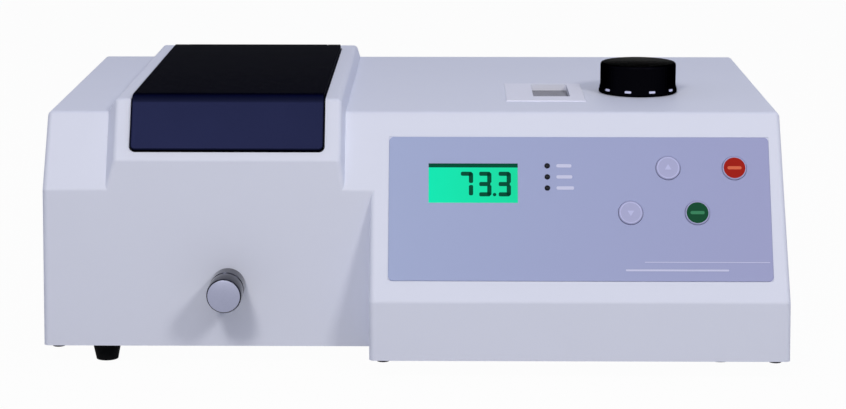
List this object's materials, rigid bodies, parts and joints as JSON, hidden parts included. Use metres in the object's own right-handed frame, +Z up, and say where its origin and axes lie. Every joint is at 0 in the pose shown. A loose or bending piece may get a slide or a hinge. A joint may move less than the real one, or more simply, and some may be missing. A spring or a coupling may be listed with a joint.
{
  "type": "visible spectrophotometer",
  "caption": "Bench visible spectrophotometer with a sloped control console, dark hinged sample lid, pull-rod cuvette carriage and a turning wavelength knob beside its scale window.",
  "frame": {"origin": "on the bench, under the middle of the whole instrument", "axes": "+X to the right as the user sees it, +Y to the back, +Z up"},
  "size_m": [0.47, 0.32, 0.1802],
  "materials": {
    "cover_plastic": "fine satin moulded plastic, pale grey with a lilac cast",
    "chassis_steel": "zinc plated sheet",
    "foot_rubber": "matt black rubber",
    "screw_steel": "zinc plated",
    "chamber_black": "matt black, light absorbing",
    "pin_steel": "ground",
    "lid_plastic": "dark navy, smooth",
    "seal_foam": "black foam",
    "rail_steel": "ground",
    "carriage_aluminium": "black anodised",
    "rack_black": "black anodised",
    "cuvette_glass": "clear optical glass",
    "rod_steel": "polished",
    "knob_chrome": "bright plated",
    "bush_metal": "nickel plated",
    "panel_film": "printed polyester film, blue grey",
    "lcd_face": "backlit green liquid crystal display",
    "board_green": "solder resist",
    "switch_black": "moulded",
    "key_grey": "satin key",
    "key_red": "red key face",
    "key_green": "dark green key face",
    "led_dark": "unlit indicator",
    "grip_black": "black moulded grip",
    "shaft_steel": "ground",
    "dial_white": "white enamelled scale disc",
    "bearing_brass": "turned",
    "cam_steel": "ground profile",
    "arm_steel": "stamped",
    "roller_brass": "turned",
    "table_aluminium": "black anodised",
    "grating_mirror": "ruled reflection grating",
    "casting_black": "black painted casting",
    "cover_sheet_black": "black paint",
    "mirror_glass": "front silvered",
    "slit_black": "blackened blade",
    "tube_black": "matt black",
    "lens_glass": "clear optical glass",
    "lamp_sheet": "folded sheet",
    "bulb_glass": "quartz capsule",
    "ceramic": "white ceramic",
    "pillar_aluminium": "turned",
    "screen_sheet": "tinned screening can",
    "diode_metal": "metal can",
    "stand_steel": "zinc plated",
    "core_steel": "laminated core",
    "coil_tape": "wound coil under tape",
    "rear_steel": "grey paint",
    "inlet_black": "moulded",
    "fuse_black": "moulded",
    "switch_frame_black": "moulded",
    "rocker_black": "moulded",
    "sink_aluminium": "black anodised fins",
    "window_glass": "clear pane"
  },
  "bodies": {
    "chassis": {"top_cover": "cover_plastic", "base_plate": "chassis_steel", "rubber_feet": "foot_rubber", "case_screws": "screw_steel", "sample_chamber": "chamber_black", "lid_hinge_pins": "pin_steel", "lid_seal": "seal_foam", "carriage_rails": "rail_steel", "rod_bush": "bush_metal", "control_panel": "panel_film", "lcd_module": "lcd_face", "display_board": "board_green", "tact_switches": "switch_black", "indicator_leds": "led_dark", "shaft_bearing": "bearing_brass", "monochromator_base": "casting_black", "monochromator_cover": "cover_sheet_black", "concave_mirrors": "mirror_glass", "fold_mirror": "mirror_glass", "light_slits": "slit_black", "light_tubes": "tube_black", "condenser_lens": "lens_glass", "lamp_house": "lamp_sheet", "lamp_bulb": "bulb_glass", "lamp_holder": "ceramic", "support_pillars": "pillar_aluminium", "detector_housing": "screen_sheet", "photodiode": "diode_metal", "detector_stand": "stand_steel", "circuit_boards": "board_green", "transformer_core": "core_steel", "transformer_coil": "coil_tape", "rear_panel": "rear_steel", "power_inlet": "inlet_black", "fuse_holder": "fuse_black", "switch_frame": "switch_frame_black", "heat_sink": "sink_aluminium", "scale_window_frame": "cover_plastic", "scale_window_pane": "window_glass"},
    "lid": {"sample_lid": "lid_plastic"},
    "carriage": {"cuvette_carriage": "carriage_aluminium", "cuvette_rack": "rack_black", "cuvettes": "cuvette_glass", "pull_rod": "rod_steel", "pull_knob": "knob_chrome"},
    "wavelength_drive": {"wavelength_knob": "grip_black", "wavelength_shaft": "shaft_steel", "wavelength_dial": "dial_white", "wavelength_cam": "cam_steel"},
    "grating_arm": {"grating_table": "table_aluminium", "grating": "grating_mirror", "cam_arm": "arm_steel"},
    "roller": {"cam_roller": "roller_brass"},
    "key_up": {"button_up": "key_grey"},
    "key_down": {"button_down": "key_grey"},
    "key_red": {"button_red": "key_red"},
    "key_green": {"button_green": "key_green"},
    "rocker": {"switch_rocker": "rocker_black"}
  },
  "joints": [
    {"name": "lid_hinge", "type": "hinge", "parent": "chassis", "child": "lid", "pos_m": [-0.1165, 0.127, 0.1692], "axis": [-1, 0, 0], "range_deg": [0, 95]},
    {"name": "carriage_slide", "type": "slide", "parent": "chassis", "child": "carriage", "axis": [0, -1, 0], "range_m": [0, 0.045]},
    {"name": "wavelength_turn", "type": "hinge", "parent": "chassis", "child": "wavelength_drive", "pos_m": [0.1488, -0.017, 0.16], "axis": [0, 0, 1], "range_deg": [0, 300]},
    {"name": "grating_turn", "type": "hinge", "parent": "chassis", "child": "grating_arm", "pos_m": [0.02, -0.025, 0.095], "axis": [0, 0, 1], "range_deg": [0, 8]},
    {"name": "roller_spin", "type": "hinge", "parent": "grating_arm", "child": "roller", "pos_m": [0.1488, 0.0001, 0.118], "axis": [0, 0, 1], "continuous": true},
    {"name": "key_up_press", "type": "slide", "parent": "chassis", "child": "key_up", "axis": [0, 0.8788, -0.4772], "range_m": [0, 0.0008], "stiffness_N_per_m": 1000, "springref_m": -0.0007},
    {"name": "key_down_press", "type": "slide", "parent": "chassis", "child": "key_down", "axis": [0, 0.8788, -0.4772], "range_m": [0, 0.0008], "stiffness_N_per_m": 1000, "springref_m": -0.0007},
    {"name": "key_red_press", "type": "slide", "parent": "chassis", "child": "key_red", "axis": [0, 0.8788, -0.4772], "range_m": [0, 0.0008], "stiffness_N_per_m": 1000, "springref_m": -0.0007},
    {"name": "key_green_press", "type": "slide", "parent": "chassis", "child": "key_green", "axis": [0, 0.8788, -0.4772], "range_m": [0, 0.0008], "stiffness_N_per_m": 1000, "springref_m": -0.0007},
    {"name": "rocker_tilt", "type": "hinge", "parent": "chassis", "child": "rocker", "pos_m": [0.01, 0.151, 0.04], "axis": [1, 0, 0], "range_deg": [0, 18]}
  ],
  "couplings": [
    {"joint": "grating_turn", "follows": "wavelength_turn", "ratio": 0.026667}
  ]
}
